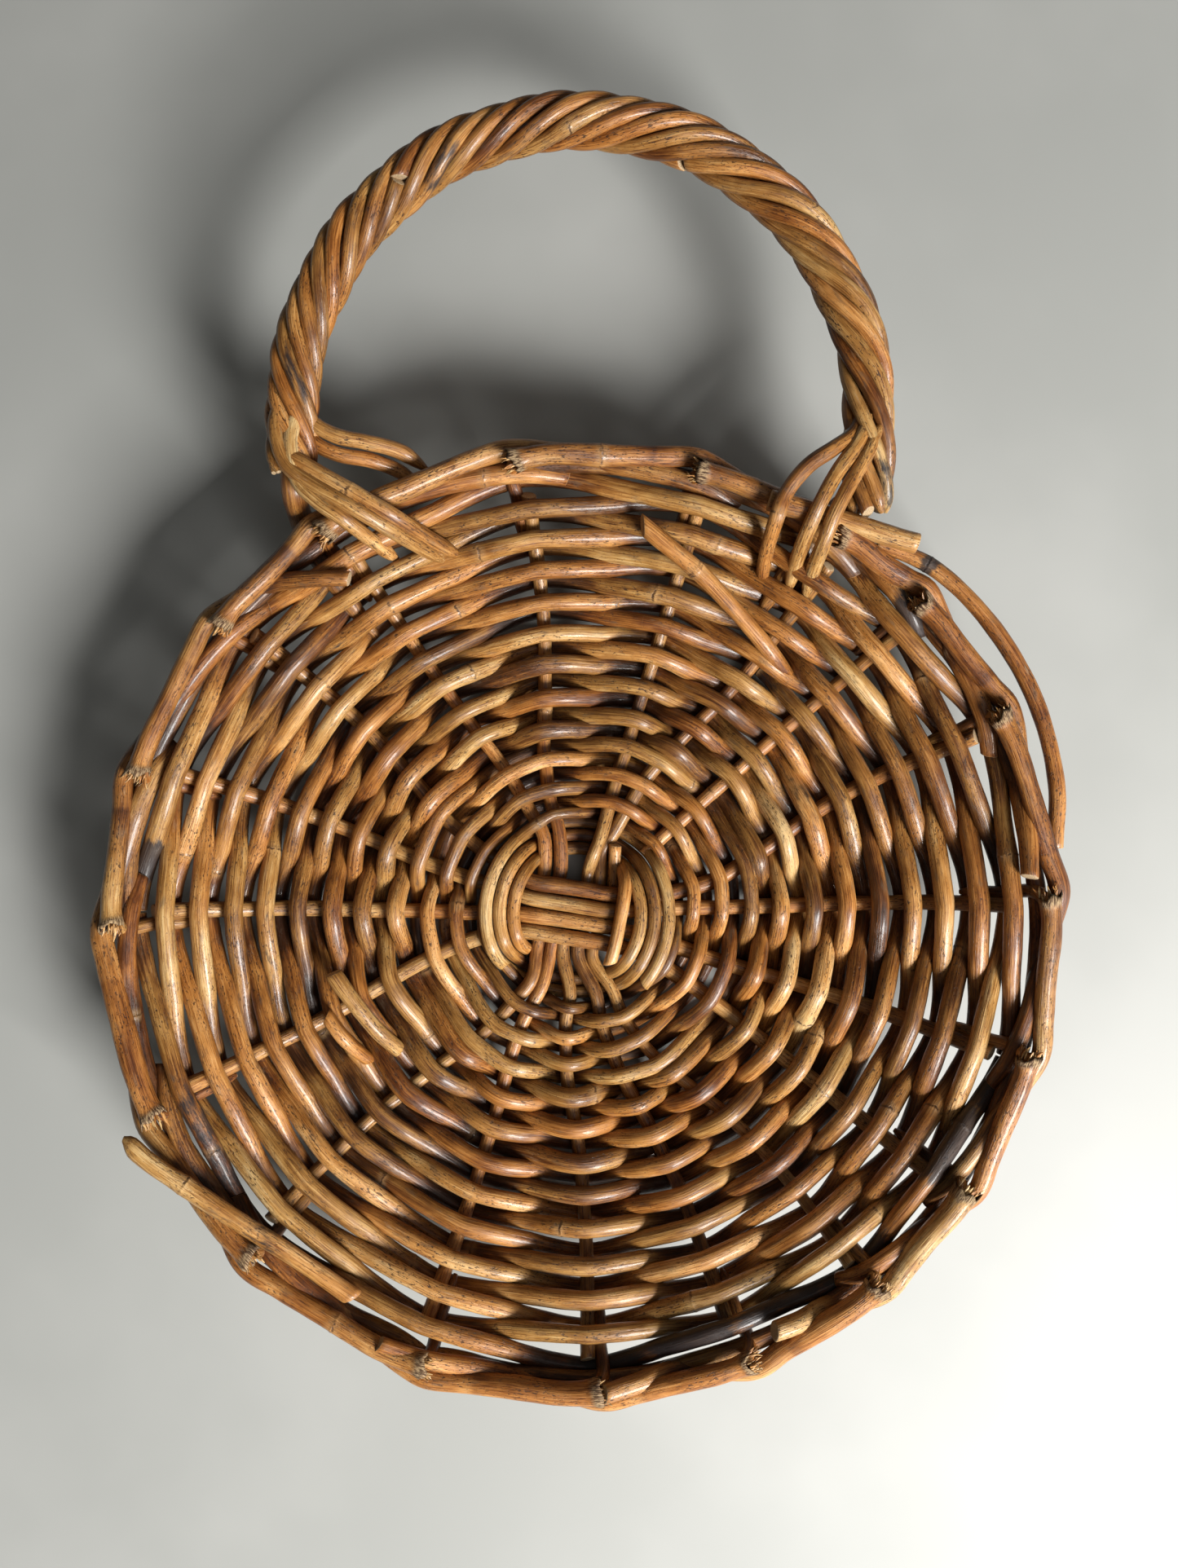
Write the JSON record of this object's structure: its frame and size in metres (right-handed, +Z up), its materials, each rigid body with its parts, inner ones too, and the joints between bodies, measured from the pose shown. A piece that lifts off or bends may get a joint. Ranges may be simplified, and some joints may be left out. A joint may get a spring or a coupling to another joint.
{
  "type": "woven fruit basket",
  "caption": "Round shallow dish of twined cane on radial spokes, with a plain rod border and one twisted rope handle that stands out from the side.",
  "frame": {"origin": "middle of the foot, on the surface that the basket stands on", "axes": "+Z up out of the dish, +Y from the middle towards the handle"},
  "size_m": [0.3987, 0.5256, 0.0869],
  "materials": {
    "spoke_cane": "satin varnish",
    "weaver_cane": "gloss varnish",
    "border_cane": "satin varnish",
    "handle_cane": "gloss varnish"
  },
  "bodies": {
    "root": {"cross_rod_1": "spoke_cane", "cross_rod_2": "spoke_cane", "cross_rod_3": "spoke_cane", "cross_rod_4": "spoke_cane", "upright_rod_1": "spoke_cane", "upright_rod_2": "spoke_cane", "upright_rod_3": "spoke_cane", "upright_rod_4": "spoke_cane", "stub_rod": "spoke_cane", "inserted_stick": "spoke_cane", "cross_binding": "weaver_cane", "weave_round_1": "weaver_cane", "weave_round_2": "weaver_cane", "weave_round_3": "weaver_cane", "weave_round_4": "weaver_cane", "weave_round_5": "weaver_cane", "weave_round_6": "weaver_cane", "weave_round_7": "weaver_cane", "weave_round_8": "weaver_cane", "weave_round_9": "weaver_cane", "weave_round_10": "weaver_cane", "weave_round_11": "weaver_cane", "side_stake_1": "border_cane", "side_stake_2": "border_cane", "side_stake_3": "border_cane", "side_stake_4": "border_cane", "side_stake_5": "border_cane", "side_stake_6": "border_cane", "side_stake_7": "border_cane", "side_stake_8": "border_cane", "side_stake_9": "border_cane", "side_stake_10": "border_cane", "side_stake_11": "border_cane", "side_stake_12": "border_cane", "side_stake_13": "border_cane", "side_stake_14": "border_cane", "side_stake_15": "border_cane", "side_stake_16": "border_cane", "side_stake_17": "border_cane", "side_stake_18": "border_cane", "handle_bow": "handle_cane", "handle_wrap": "handle_cane", "left_lashing_1": "handle_cane", "left_lashing_2": "handle_cane", "left_lashing_3": "handle_cane", "right_lashing_1": "handle_cane", "right_lashing_2": "handle_cane", "right_lashing_3": "handle_cane"}
  },
  "joints": []
}
